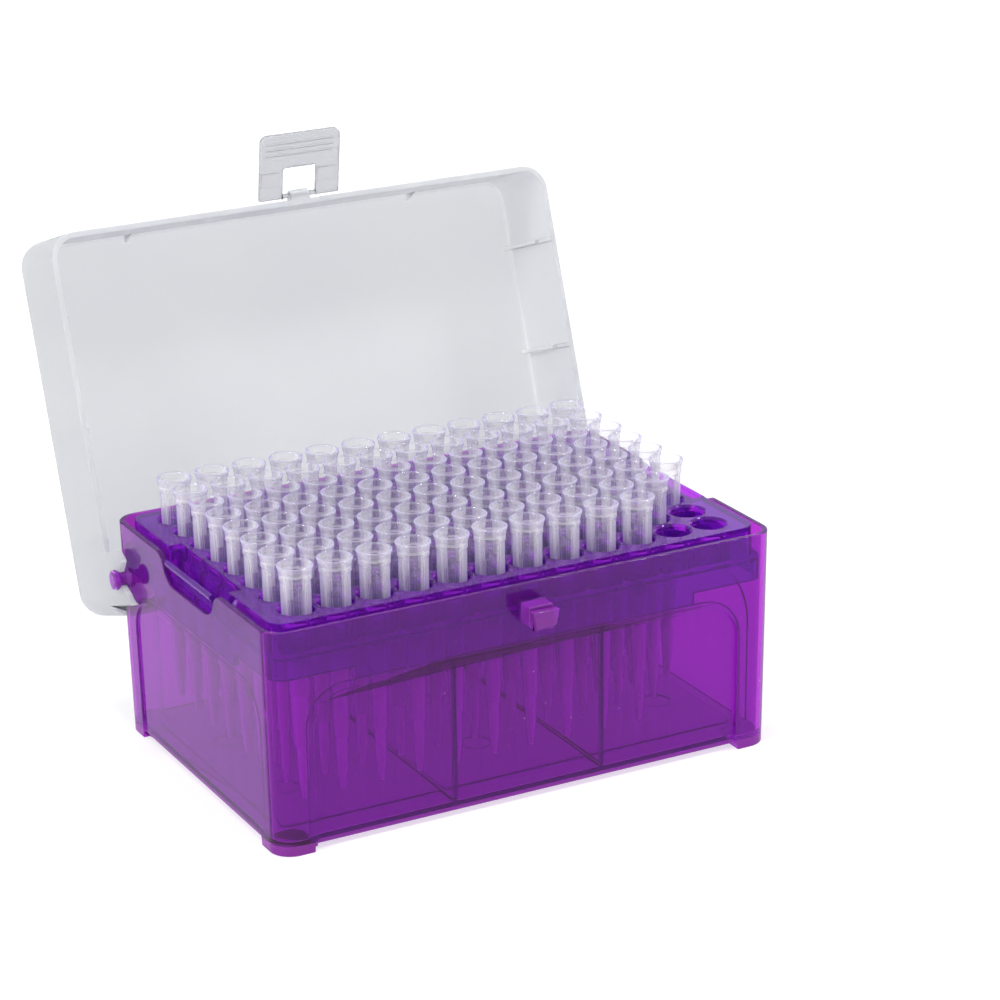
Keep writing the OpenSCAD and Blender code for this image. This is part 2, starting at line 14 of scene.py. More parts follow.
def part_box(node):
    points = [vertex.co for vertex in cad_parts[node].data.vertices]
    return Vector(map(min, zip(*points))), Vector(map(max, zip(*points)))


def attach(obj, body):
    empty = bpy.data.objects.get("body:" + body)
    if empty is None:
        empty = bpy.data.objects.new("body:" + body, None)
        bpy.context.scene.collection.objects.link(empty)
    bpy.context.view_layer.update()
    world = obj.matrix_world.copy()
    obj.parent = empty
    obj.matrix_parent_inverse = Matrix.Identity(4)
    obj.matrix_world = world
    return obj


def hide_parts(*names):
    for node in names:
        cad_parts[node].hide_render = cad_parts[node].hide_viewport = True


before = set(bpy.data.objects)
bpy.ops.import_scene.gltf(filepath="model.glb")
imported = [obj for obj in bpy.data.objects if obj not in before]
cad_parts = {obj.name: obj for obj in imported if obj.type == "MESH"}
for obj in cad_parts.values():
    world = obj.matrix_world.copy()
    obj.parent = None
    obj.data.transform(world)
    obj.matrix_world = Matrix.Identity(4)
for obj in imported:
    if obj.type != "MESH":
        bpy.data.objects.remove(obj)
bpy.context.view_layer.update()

mm = 0.001

# %% [markdown]
# ## Helpers for modelling by hand
# In the window we would add a primitive, open edit mode and click on edges and faces. A script has no
# mouse, so one helper picks faces or edges by their place and direction. Sizes are written in
# millimetres and turned to Blender's metres in one place, because a bare 0.0013 is hard to read.
# %% Start, settle and pick
def only(piece):
    """Selects one piece and makes it active, so that an operator acts on nothing else."""
    bpy.ops.object.select_all(action="DESELECT")
    piece.select_set(True)
    bpy.context.view_layer.objects.active = piece


def settle(name):
    """Names the newest object and moves its place, turn and scale into its mesh."""
    piece = bpy.context.object
    piece.name = piece.data.name = name
    bpy.ops.object.transform_apply(location=True, rotation=True, scale=True)
    return piece


def pick(piece, kind, test):
    """Opens edit mode and selects each FACE or EDGE whose middle (mm) and direction pass the test."""
    only(piece)
    bpy.ops.object.mode_set(mode="EDIT")
    bpy.ops.mesh.select_mode(type=kind)
    bpy.ops.mesh.select_all(action="DESELECT")
    shape = bmesh.from_edit_mesh(piece.data)
    for part in shape.faces if kind == "FACE" else shape.edges:
        middle = sum((corner.co for corner in part.verts), Vector()) / len(part.verts) / mm
        along = part.normal if kind == "FACE" else (part.verts[1].co - part.verts[0].co).normalized()
        if test(middle, along):
            part.select_set(True)
    bmesh.update_edit_mesh(piece.data)


def leave_edit():
    bpy.ops.object.mode_set(mode="OBJECT")


# %% Blocks, rounded edges, cuts and turns
def block(name, low, high):
    """Adds a box between two corners given in mm."""
    bpy.ops.object.select_all(action="DESELECT")
    middle = [(a + b) / 2 * mm for a, b in zip(low, high)]
    size = [(b - a) * mm for a, b in zip(low, high)]
    bpy.ops.mesh.primitive_cube_add(size=1, location=middle, scale=size)
    return settle(name)


def rod(name, radius, start, end, segments=32):
    """Adds a cylinder along X between two points given in mm."""
    bpy.ops.object.select_all(action="DESELECT")
    middle = [(a + b) / 2 * mm for a, b in zip(start, end)]
    bpy.ops.mesh.primitive_cylinder_add(vertices=segments, radius=radius * mm,
                                        depth=(end[0] - start[0]) * mm, location=middle,
                                        rotation=(0, math.radians(90), 0))
    return settle(name)


def round_edges(piece, radius, segments, test):
    """Rounds the edges that pass the test."""
    pick(piece, "EDGE", test)
    bpy.ops.mesh.bevel(offset=radius * mm, segments=segments, profile=0.5, affect="EDGES")
    leave_edit()
    return piece


def resize_faces(piece, factors, test):
    """Scales the faces that pass the test about their own middle."""
    pick(piece, "FACE", test)
    bpy.ops.transform.resize(value=factors)
    leave_edit()
    return piece


def turn(piece, degrees, axis, about=(0, 0, 0)):
    """Turns a whole piece about a point, anticlockwise as seen from the axis's positive end."""
    pick(piece, "FACE", lambda middle, along: True)
    bpy.ops.transform.rotate(value=-math.radians(degrees), orient_axis=axis,
                             center_override=[c * mm for c in about])
    leave_edit()
    return piece


def combine(piece, tool, operation="DIFFERENCE"):
    """Cuts the tool out of the piece, or joins it on with UNION, and removes the tool."""
    only(piece)
    step = piece.modifiers.new("combine", "BOOLEAN")
    step.operation = operation
    step.solver = "EXACT"
    step.object = tool
    bpy.ops.object.modifier_apply(modifier=step.name)
    bpy.data.objects.remove(tool)
    return piece


def copy_of(piece, name):
    """Copies a piece with a mesh of its own."""
    twin = piece.copy()
    twin.data = piece.data.copy()
    twin.name = twin.data.name = name
    bpy.context.scene.collection.objects.link(twin)
    return twin


# %% [markdown]
# A moulded edge is never perfectly sharp. Rounding the sharp edges at the very end, by angle, catches
# the light along every corner, and it is quicker than choosing them one by one. Smooth shading then
# hides the small faces of each rounding. On its own it would bend the shading of the big flat faces as
# well, and a clear wall would look like a lens, so a Weighted Normal modifier keeps those flat.
# %% Smooth the shading
def smooth_evenly(piece, angle):
    """Smooths the small faces of a rounding and keeps the big ones flat."""
    only(piece)
    bpy.ops.object.shade_smooth_by_angle(angle=math.radians(angle))
    evening = piece.modifiers.new("evening", "WEIGHTED_NORMAL")
    evening.keep_sharp = True
    bpy.ops.object.modifier_apply(modifier=evening.name)


# %% Finish a moulded piece
def finish_moulding(piece, edge_radius, segments=2, sharp=35):
    """Cleans up after the cuts, rounds every edge sharper than the angle and smooths the shading."""
    pick(piece, "FACE", lambda middle, along: True)
    bpy.ops.mesh.remove_doubles(threshold=0.01 * mm)
    bpy.ops.mesh.dissolve_limited(angle_limit=math.radians(0.5))
    bpy.ops.mesh.normals_make_consistent(inside=False)
    leave_edit()
    rounding = piece.modifiers.new("rounding", "BEVEL")
    rounding.width = edge_radius * mm
    rounding.segments = segments
    rounding.limit_method = "ANGLE"
    rounding.angle_limit = math.radians(sharp)
    rounding.use_clamp_overlap = False
    bpy.ops.object.modifier_apply(modifier=rounding.name)
    smooth_evenly(piece, 40)
    print(piece.name, "has", len(piece.data.polygons), "faces")
    return piece


# %% [markdown]
# ## The base
# The base is one injection moulding in clear purple plastic. Its walls lean outward by a small draft so
# that it leaves the mould, an arched panel is set into each wall, and a foot stands at each corner.
# It could be drawn as a profile and extruded, but the draft and the panels make that awkward. A solid
# block is shaped first and then hollowed by a smaller block, as the two halves of the mould do.
# %% Sizes of the base, in mm
rim_x, rim_y, rim_z = 60.5, 41.7, 48.8
draft = 0.75
wall = 1.3
floor_top = 1.6
foot_height = 1.3
corner_radius = 5.0
notch_half, notch_depth, notch_slope = 14.4, 6.1, 2.8
stiffener_x = 17.8


def half_x(z):
    return rim_x - (rim_z - z) * math.tan(math.radians(draft))


def half_y(z):
    return rim_y - (rim_z - z) * math.tan(math.radians(draft))


def drafted_block(name, z0, z1, inset, radius):
    """A block that follows the drafted walls, less an inset, with rounded upright corners."""
    wide_x, wide_y = half_x(z1) - inset, half_y(z1) - inset
    piece = block(name, (-wide_x, -wide_y, z0), (wide_x, wide_y, z1))
    narrow = ((half_x(z0) - inset) / wide_x, (half_y(z0) - inset) / wide_y, 1)
    resize_faces(piece, narrow, lambda middle, along: along.z < -0.9)
    return round_edges(piece, radius, 10, lambda middle, along: abs(along.z) > 0.9)


# %% The arched panels
long_post, long_drop, long_depth = 9.2, 15.0, 1.2
short_post, short_drop, short_depth = 9.4, 15.6, 0.55
arch_corner, arch_slope, most_grow_up = 8, 0.5, 1.2


def arch(name, reach, half, drop, depth, grow, turned):
    """The space in front of an arched panel: its sides slope, and it leans with the wall."""
    wide = half + grow
    top = rim_z - drop + min(grow, most_grow_up)
    piece = block(name, (-wide, -reach - 3, -8), (wide, -reach + depth + grow, top))
    round_edges(piece, arch_corner + grow, 12, lambda middle, along: abs(along.y) > 0.9 and middle.z > 0)
    resize_faces(piece, ((wide - arch_slope) / wide, 1, 1), lambda middle, along: along.y > 0.9)
    turn(piece, draft, "X", (0, -reach, rim_z))
    return turn(piece, turned, "Z")


def arches(grow):
    """The four panels' spaces: two long walls and two short walls."""
    long_walls = [arch("long arch", rim_y, rim_x - long_post, long_drop, long_depth, grow, angle)
                  for angle in (0, 180)]
    short_walls = [arch("short arch", rim_x, rim_y - short_post, short_drop, short_depth, grow, angle)
                   for angle in (90, 270)]
    return long_walls + short_walls


# %% Block, panels, feet and hollow
base = drafted_block("box_base", -foot_height, rim_z, 0, corner_radius)
for space in arches(0):
    combine(base, space)

# The feet are what is left when the gap under the floor is cut away between them.
foot_length, foot_width, foot_corner = 8.4, 9.0, 2.5
gap_below = block("gap below", (-70, -50, -foot_height - 3), (70, 50, 0))
foot_x, foot_y = half_x(0) - foot_length, half_y(0) - foot_width
for side_x in (-1, 1):
    for side_y in (-1, 1):
        low_x, high_x = sorted((side_x * foot_x, side_x * 80))
        low_y, high_y = sorted((side_y * foot_y, side_y * 60))
        foot = block("foot", (low_x, low_y, -9), (high_x, high_y, 9))
        round_edges(foot, foot_corner, 6, lambda middle, along: abs(along.z) > 0.9)
        combine(gap_below, foot)
combine(base, gap_below)

hollow = drafted_block("hollow", floor_top, rim_z + 2, wall, corner_radius - wall)
for space in arches(wall):
    combine(hollow, space)
combine(base, hollow)
print("base block:", len(base.data.polygons), "faces")

# %% [markdown]
# Each short wall has a notch, so that two fingers can reach the rack's grips. Inside, thin stiffeners
# stand behind the long panels and run on across the floor, whose middle is a little thicker. Round
# marks on the floor are where the mould's ejector pins pushed the part out.
# %% Finger notches
notch_low_corner, notch_high_corner = 3, 2.2


def notch(turned):
    """The space of one finger notch, wider at the top, with rounded lower corners."""
    above = 2
    top_half = notch_half + above * notch_slope / notch_depth
    piece = block("notch", (-top_half, -rim_x - 3, rim_z - notch_depth), (top_half, -rim_x + 3, rim_z + above))
    narrow = (notch_half - notch_slope) / top_half
    resize_faces(piece, (narrow, 1, 1), lambda middle, along: along.z < -0.9)
    round_edges(piece, notch_low_corner, 6, lambda middle, along: abs(along.y) > 0.9 and middle.z < rim_z)
    return turn(piece, turned, "Z")


for angle in (90, 270):
    combine(base, notch(angle))
# The notch's upper corners are rounded over too.
round_edges(base, notch_high_corner, 6, lambda middle, along: abs(along.x) > 0.95 and abs(middle.z - rim_z) < 0.1
            and abs(abs(middle.y) - notch_half) < 0.3)

# %% Stiffeners and floor ribs
panel_inside = half_y(floor_top) - long_depth - wall
stiffener_half, stiffener_depth, stiffener_top = 0.35, 0.9, rim_z - 13.8
floor_rib_half, floor_rib_height = 0.45, 0.36
sunk = 0.4
for side in (-1, 1):
    for face in (-1, 1):
        x = side * stiffener_x
        stiffener = block("stiffener", (x - stiffener_half, -panel_inside - stiffener_depth, floor_top - sunk),
                          (x + stiffener_half, -panel_inside + 0.5, stiffener_top))
        # It leans with its wall: the foot stays and the top moves outward by the draft.
        lean = half_y(stiffener_top) - half_y(floor_top)
        pick(stiffener, "FACE", lambda middle, along: along.z > 0.9)
        bpy.ops.transform.translate(value=(0, -lean * mm, 0))
        leave_edit()
        combine(base, turn(stiffener, 90 - face * 90, "Z"), "UNION")
    floor_rib = block("floor rib", (x - floor_rib_half, -panel_inside - sunk, floor_top - sunk),
                      (x + floor_rib_half, panel_inside + sunk, floor_top + floor_rib_height))
    combine(base, floor_rib, "UNION")

# %% Floor pad and ejector marks
pad_x, pad_y, pad_height = half_x(0) - 4.5, half_y(0) - 8.5, 0.3
ejector_radius, ejector_depth = 3.4, 0.15
pad = block("floor pad", (-pad_x, -pad_y, floor_top - sunk), (pad_x, pad_y, floor_top + pad_height))
round_edges(pad, 2, 4, lambda middle, along: abs(along.z) > 0.9)
resize_faces(pad, (0.994, 0.99, 1), lambda middle, along: along.z > 0.9)
combine(base, pad, "UNION")
for x in (-46, 0, 46):
    for y in (-14, 14):
        bpy.ops.object.select_all(action="DESELECT")
        bpy.ops.mesh.primitive_cylinder_add(
            vertices=32, radius=ejector_radius * mm, depth=0.4 * mm,
            location=(x * mm, y * mm, (floor_top + pad_height - ejector_depth + 0.2) * mm))
        combine(base, settle("ejector mark"))
print("base with ribs:", len(base.data.polygons), "faces")

# %% [markdown]
# The two hinge pins are the only turned shapes on the base: a collar at the wall, the pin itself and a
# head that keeps the lid's ear on. A ring of edges is extruded along X and scaled at each step, as on
# a lathe. A blind hole from inside cores each pin, so that the thick part doesn't sink as it cools.
# %% Hinge pins
pin_y, pin_z = rim_y - 7.7, rim_z - 12.0


def turned_along_x(name, outline, segments=40):
    """A round solid along X from (radius, x) steps in mm, standing on the hinge axis."""
    bpy.ops.object.select_all(action="DESELECT")
    radius, x = outline[0]
    bpy.ops.mesh.primitive_circle_add(vertices=segments, radius=radius * mm, fill_type="NGON",
                                      location=(x * mm, pin_y * mm, pin_z * mm), rotation=(0, math.radians(90), 0))
    piece = settle(name)
    pick(piece, "FACE", lambda middle, along: True)
    for next_radius, next_x in outline[1:]:
        bpy.ops.mesh.extrude_region_move(TRANSFORM_OT_translate={"value": ((next_x - x) * mm, 0, 0)})
        scale = next_radius / radius
        bpy.ops.transform.resize(value=(1, scale, scale))
        radius, x = next_radius, next_x
    bpy.ops.mesh.select_all(action="SELECT")
    bpy.ops.mesh.normals_make_consistent(inside=False)
    leave_edit()
    return piece


ear_inner, ear_outer = rim_x + 0.95, rim_x + 2.25
pin_radius, core_radius = 1.6, 0.9
pin_steps = [(2.4, half_x(pin_z) - wall / 2), (2.2, half_x(pin_z) + 0.25), (2.1, ear_inner - 0.35),
             (1.95, ear_inner - 0.25), (pin_radius, ear_inner - 0.2), (pin_radius, ear_outer + 0.2),
             (1.95, ear_outer + 0.25), (2.3, ear_outer + 0.6), (2.3, ear_outer + 1.3),
             (2.05, ear_outer + 1.6), (1.4, ear_outer + 1.75)]
for turned in (0, 180):
    pin = turned_along_x("hinge pin", pin_steps)
    core = rod("pin core", core_radius, (half_x(pin_z) - wall - 2, pin_y, pin_z),
               (ear_outer + 0.25, pin_y, pin_z), 24)
    if turned:
        for part in (pin, core):
            turn(part, 180, "Z", (0, pin_y, 0))
    combine(base, pin, "UNION")
    combine(base, core)

# %% [markdown]
# The catch is a short hook on the front rim. The latch's window snaps over its sloped head.
# %% Catch
catch_top, catch_bottom = rim_z - 3.9, rim_z - 8.4
root_half, neck_half, head_half, head_low_half = 2.9, 2.2, 3.15, 2.2
root_reach, neck_reach, head_reach = -rim_y - 3.9, -rim_y - 5.0, -rim_y - 6.3
root = block("catch root", (-root_half, root_reach, catch_bottom), (root_half, -rim_y + wall / 2, catch_top))
neck = block("catch neck", (-neck_half, neck_reach, catch_bottom - 0.2),
             (neck_half, root_reach + 0.4, catch_top - 1.0))
head = block("catch head", (-head_half, head_reach, catch_bottom - 0.5),
             (head_half, neck_reach + 0.4, catch_top - 0.4))
resize_faces(head, (head_low_half / head_half, 1, 1), lambda middle, along: along.z < -0.9)
round_edges(head, 1.2, 1, lambda middle, along: abs(along.x) > 0.9 and middle.z < catch_bottom
            and middle.y < head_reach + 0.3)
combine(combine(root, neck, "UNION"), head, "UNION")
combine(base, root, "UNION")
finish_moulding(base, 0.3, 3)

# %% [markdown]
# ## The lid
# The lid is a shallow tray in natural polypropylene, which scatters light and looks frosted. It is
# modelled closed, with the hinge axis at the origin, where its walls are straight and easy to measure,
# and swung open at the end. The ears that snap over the pins are left when the rim is trimmed.
# %% Sizes of the lid, in mm, from the hinge axis
lid_x = ear_outer
lid_front, lid_back = -(pin_y + rim_y + 0.6 + wall), rim_y - pin_y + 0.2 + wall
lid_rim, lid_top = 6.5, 29.9
lid_corner, lid_edge, lid_inner_edge = 6, 2, 0.8
back_rim = 11.08
ear_half, ear_drop = 6.1, 3.5
open_angle = 109
bar_y, bar_z = lid_front - 1.25, 9.55
latch_swing = 62.5
seat_radius, throat_half = 1.66, 1.48
bore_radius = 0.61


def lid_block(name, inset, bottom, top, corner, edge):
    """A block on the lid's plan, less an inset, with rounded upright corners and a rounded top edge."""
    piece = block(name, (inset - lid_x, lid_front + inset, bottom), (lid_x - inset, lid_back - inset, top))
    round_edges(piece, corner, 12, lambda middle, along: abs(along.z) > 0.9)
    return round_edges(piece, edge, 5, lambda middle, along: middle.z > top - 0.01)


def bar_along_x(name, half, radius, y, z, segments=32):
    return rod(name, radius, (-half, y, z), (half, y, z), segments)


# %% Shell, rim and ears
lid = lid_block("box_lid", 0, -ear_drop, lid_top, lid_corner, lid_edge)
combine(lid, lid_block("lid hollow", wall, -ear_drop - 3, lid_top - wall, lid_corner - wall, lid_inner_edge))
combine(lid, block("front trim", (-80, lid_front - 5, -9), (80, -ear_half, lid_rim)))
combine(lid, block("back trim", (-80, ear_half, -9), (80, lid_back + 5, back_rim)))
ear_bevel = block("ear bevel", (-80, -1.8, -1.8), (80, 1.8, 1.8))
turn(ear_bevel, 45, "X")
pick(ear_bevel, "FACE", lambda middle, along: True)
bpy.ops.transform.translate(value=(0, -ear_half * mm, (-ear_drop - 0.7) * mm))
leave_edit()
combine(lid, ear_bevel)

# %% Seats for the hinge pins
combine(lid, bar_along_x("pin seat", 80, seat_radius, 0, 0, 40))
throat = block("throat", (-80, -throat_half, -ear_drop - 0.1), (80, throat_half, -0.8))
resize_faces(throat, (1, 3.7 / throat_half, 1), lambda middle, along: along.z < -0.9)
combine(lid, throat)
combine(lid, block("throat top", (-80, -throat_half, -0.9), (80, throat_half, -0.1)))

# %% Guide ribs on the side walls, and gussets
rib_start, rib_spacing, rib_half = 12.1, 25.5, 0.45
guide_depth, guide_low_depth = 1.5, 0.35
gusset_x, gusset_height, gusset_depth = 36.5, 5.0, 1.8
for side in (-1, 1):
    for step in (-1, 0, 1):
        y = step * rib_spacing - pin_y
        inner = side * (lid_x - wall)
        for depth, z0, z1 in ((guide_depth, rib_start, lid_top - 1), (guide_low_depth, lid_rim, rib_start + 0.2)):
            low_x, high_x = sorted((inner - side * depth, inner + side * 0.4))
            combine(lid, block("guide rib", (low_x, y - rib_half, z0), (high_x, y + rib_half, z1)), "UNION")
    gusset = block("gusset", (side * gusset_x - 0.4, lid_front + 1, lid_top - wall - gusset_height),
                   (side * gusset_x + 0.4, lid_front + wall + gusset_depth, lid_top - wall + 0.4))
    # Its lower edge is drawn in to the wall, which leaves a slope.
    pick(gusset, "EDGE", lambda middle, along: abs(along.x) > 0.9 and middle.z < lid_top - wall - 1
         and middle.y > lid_front + wall)
    bpy.ops.transform.translate(value=(0, (0.05 - gusset_depth) * mm, 0))
    leave_edit()
    combine(lid, gusset, "UNION")

# %% The lug for the latch
lug_half, lug_radius = 2.4, 1.15
lug = block("latch lug", (-lug_half, bar_y, bar_z - lug_radius), (lug_half, lid_front + 0.4, bar_z + lug_radius))
pick(lug, "EDGE", lambda middle, along: abs(along.x) > 0.9 and middle.z > bar_z and middle.y > lid_front)
bpy.ops.transform.translate(value=(0, 0, 0.9 * mm))
leave_edit()
combine(lug, bar_along_x("lug end", lug_half, lug_radius, bar_y, bar_z), "UNION")
combine(lid, lug, "UNION")
combine(lid, bar_along_x("bar bore", 4, bore_radius, bar_y, bar_z, 24))
combine(lid, block("catch notch", (-4.5, lid_front - 0.05, lid_rim - 3), (4.5, lid_front + wall + 0.1, 8.4)))
finish_moulding(lid, 0.25, 3)

# %% [markdown]
# The lid is closed so far. Turning its mesh about the hinge axis and moving that axis to the pins opens
# it, and the object itself stays at the origin.
# %% Open the lid
def swing_open(piece):
    """Takes a piece from the closed lid's frame to the open lid."""
    turn(piece, -open_angle, "X")
    pick(piece, "FACE", lambda middle, along: True)
    bpy.ops.transform.translate(value=(0, pin_y * mm, pin_z * mm))
    leave_edit()
    return piece


swing_open(lid)

# %% [markdown]
# ## The latch
# The latch is a thin clear plate with a window for the catch. It turns on a bar between its two arms,
# which the lid's lug holds. Raised pads beside the window stiffen the arms and three shallow grooves
# give the finger a grip.
# %% Plate, window and bar
latch_half, latch_length, plate = 10.0, 15.3, 1.2
latch_corner, window_corner = 1.7, 0.6
window_half, window_end = 4.25, 7.04
bar_radius = 0.55
latch = block("box_latch", (-latch_half, -plate / 2, -latch_length), (latch_half, plate / 2, 0))
round_edges(latch, latch_corner, 6, lambda middle, along: abs(along.y) > 0.9 and middle.z < -10)
combine(latch, bar_along_x("barrel", latch_half, plate / 2, 0, 0), "UNION")
window = block("window", (-window_half, -3, -window_end), (window_half, 3, 2))
round_edges(window, window_corner, 4, lambda middle, along: abs(along.y) > 0.9 and middle.z < 0)
combine(latch, window)
combine(latch, bar_along_x("bar", window_half + 0.4, bar_radius, 0, 0, 24), "UNION")

# %% Pads and grip grooves
pad_half, pad_raised = 2.3, 0.35
for side in (-1, 1):
    middle_x = side * (latch_half + window_half) / 2
    pad = block("latch pad", (middle_x - pad_half, -plate / 2 - pad_raised, -5.9), (middle_x + pad_half, -0.2, -2.5))
    round_edges(pad, 0.3, 3, lambda middle, along: middle.y < -plate / 2)
    combine(latch, pad, "UNION")
for z in (-10.2, -11.6, -13.0):
    combine(latch, bar_along_x("grip groove", latch_half - 1.6, 0.3, -plate / 2 - 0.14, z, 12))
finish_moulding(latch, 0.2, 3)

# %% Hang the latch on the open lid
turn(latch, -latch_swing, "X")
pick(latch, "FACE", lambda middle, along: True)
bpy.ops.transform.translate(value=(0, bar_y * mm, bar_z * mm))
leave_edit()
swing_open(latch)

# %% [markdown]
# ## The tips
# A filter tip is a thin cone with a wide collar. Fine ribs inside the collar grip the pipette, which
# is why the collar looks striped. Spinning an outline would also work, but extruding one ring of edges
# and scaling it at each step keeps every ring where we want it. One tip is made and copied 93 times.
# %% One tip, from its rim down and back up inside
pitch = 9.0
tip_rim = 59.2
tip_outside = [(3.52, 0.0), (3.74, -0.05), (3.85, -0.2), (3.85, -0.42), (3.76, -0.6), (3.5, -1.7), (3.38, -2.4),
               (3.44, -2.6), (3.46, -2.85), (3.4, -3.05), (3.27, -3.2), (3.25, -3.6), (3.2, -9.0), (3.13, -15.6),
               (3.1, -16.6), (3.0, -16.95), (2.85, -17.0), (2.5, -17.0), (2.44, -17.1), (2.33, -19.5),
               (2.27, -20.7), (2.31, -20.8), (2.26, -20.9), (1.92, -28.4), (1.96, -28.5), (1.91, -28.6),
               (1.4, -39.9), (1.45, -40.0), (1.39, -40.1), (1.12, -47.0), (0.62, -51.85), (0.56, -52.0)]
tip_inside = [(0.34, -52.0), (0.3, -51.9), (0.8, -47.0), (1.97, -20.0), (2.1, -15.05), (2.25, -14.5),
              (2.33, -13.2), (2.62, -4.4), (2.7, -2.2), (2.64, -2.05), (2.64, -1.9), (2.74, -1.75),
              (3.28, -0.5), (3.38, -0.12)]
rib_count, sides_per_rib = 9, 4
tip_sides = rib_count * sides_per_rib


def turned_downward(name, outline, segments):
    """A closed round shell from (radius, z) steps in mm; the last ring joins the first."""
    bpy.ops.object.select_all(action="DESELECT")
    radius, z = outline[0]
    bpy.ops.mesh.primitive_circle_add(vertices=segments, radius=radius * mm, location=(0, 0, z * mm))
    piece = settle(name)
    bpy.ops.object.mode_set(mode="EDIT")
    bpy.ops.mesh.select_mode(type="EDGE")
    bpy.ops.mesh.select_all(action="SELECT")
    for next_radius, next_z in outline[1:] + outline[:1]:
        bpy.ops.mesh.extrude_region_move(TRANSFORM_OT_translate={"value": (0, 0, (next_z - z) * mm)})
        bpy.ops.transform.resize(value=(next_radius / radius, next_radius / radius, 1))
        radius, z = next_radius, next_z
    bpy.ops.mesh.select_all(action="SELECT")
    bpy.ops.mesh.remove_doubles(threshold=0.001 * mm)
    bpy.ops.mesh.normals_make_consistent(inside=False)
    leave_edit()
    return piece


tip = turned_downward("tip", tip_outside + tip_inside, tip_sides)


# %% Grip ribs inside the collar
ribs_low, ribs_high, rib_depth = -13.0, -4.5, 0.25


def on_rib(middle, along):
    """True for one side in four of the socket's wall, between the mouth and the filter."""
    side = math.degrees(math.atan2(middle.y, middle.x)) / (360 / tip_sides) % sides_per_rib
    facing_in = along.x * middle.x + along.y * middle.y < 0
    return facing_in and side < 1 and ribs_low < middle.z < ribs_high


pick(tip, "FACE", on_rib)
bpy.ops.mesh.extrude_region_shrink_fatten(TRANSFORM_OT_shrink_fatten={"value": rib_depth * mm})
leave_edit()
only(tip)
bpy.ops.object.shade_smooth_by_angle(angle=math.radians(50))
print("one tip has", len(tip.data.polygons), "faces")

# %% Fill the rack: one piece for each column, as in the frame
empty_wells = {(11, 1), (12, 1), (12, 2)}
columns = []
for column in range(1, 13):
    copies = []
    for row in range(1, 9):
        if (column, row) in empty_wells:
            continue
        twin = copy_of(tip, f"tip_{column}_{row}")
        twin.location = ((column - 6.5) * pitch * mm, (row - 4.5) * pitch * mm, tip_rim * mm)
        # No two tips stand with their ribs in the same place.
        twin.rotation_euler.z = math.radians(37 * column + 23 * row)
        copies.append(twin)
    bpy.ops.object.select_all(action="DESELECT")
    for twin in copies:
        twin.select_set(True)
    bpy.context.view_layer.objects.active = copies[0]
    bpy.ops.object.transform_apply(location=True, rotation=True, scale=True)
    bpy.ops.object.join()
    joined = bpy.context.object
    joined.name = joined.data.name = f"racked_tips_{column:02d}"
    columns.append(joined)
bpy.data.objects.remove(tip)
print(len(columns), "columns of tips,", sum(len(c.data.polygons) for c in columns), "faces")

# %% [markdown]
# ## Materials
# Every plastic here is seen by light that passes through it. The Principled shader tints that light at
# each surface, so a wall seen through another wall looks deeper, as in the real box. A little absorption
# per millimetre of path is added for the dye, and a share of plain scattering gives the soft bloom.
# %% Colours and nodes
def linear(hex_value):
    """Turns an sRGB hex value into the linear RGBA that a colour socket takes."""
    parts = [int(hex_value[start:start + 2], 16) / 255 for start in (1, 3, 5)]
    return [c / 12.92 if c <= 0.04045 else ((c + 0.055) / 1.055) ** 2.4 for c in parts] + [1]


def add_node(tree, kind, settings=None, links=None):
    """Adds a shader node; settings fill its sockets or properties and links feed its inputs."""
    node = tree.nodes.new("ShaderNode" + kind)
    for key, value in (settings or {}).items():
        if isinstance(key, int) or key in node.inputs:
            node.inputs[key].default_value = value
        else:
            setattr(node, key, value)
    for key, source in (links or {}).items():
        tree.links.new(source, node.inputs[key])
    return node


def new_material(name):
    """An empty node material and its node tree."""
    material = bpy.data.materials.new(name)
    material.use_nodes = True
    material.node_tree.nodes.clear()
    return material, material.node_tree


def dyed(tree, through, thickness):
    """Volume absorption that turns white light into the given colour over a thickness in mm."""
    per_metre = [-math.log(c) / (thickness * mm) for c in linear(through)[:3]]
    density = max(per_metre) * 1.02
    kept = [1 - p / density for p in per_metre] + [1]
    return add_node(tree, "VolumeAbsorption", {"Color": kept, "Density": density})


# %% [markdown]
# The base and the rack are polypropylene with a violet dye, moulded in a polished tool. The surface
# has a faint waviness from cooling, and the clear plastic shows tiny pale specks, which are dust and
# unmelted grains. Solid polypropylene has an IOR of 1.49. Each wall here has two surfaces and dozens lie
# behind each other, so a lower IOR is used, or the walls would look white with reflections.
# %% Dyed polypropylene
# The specks are about 0.2 mm across
speck_radius = 0.11


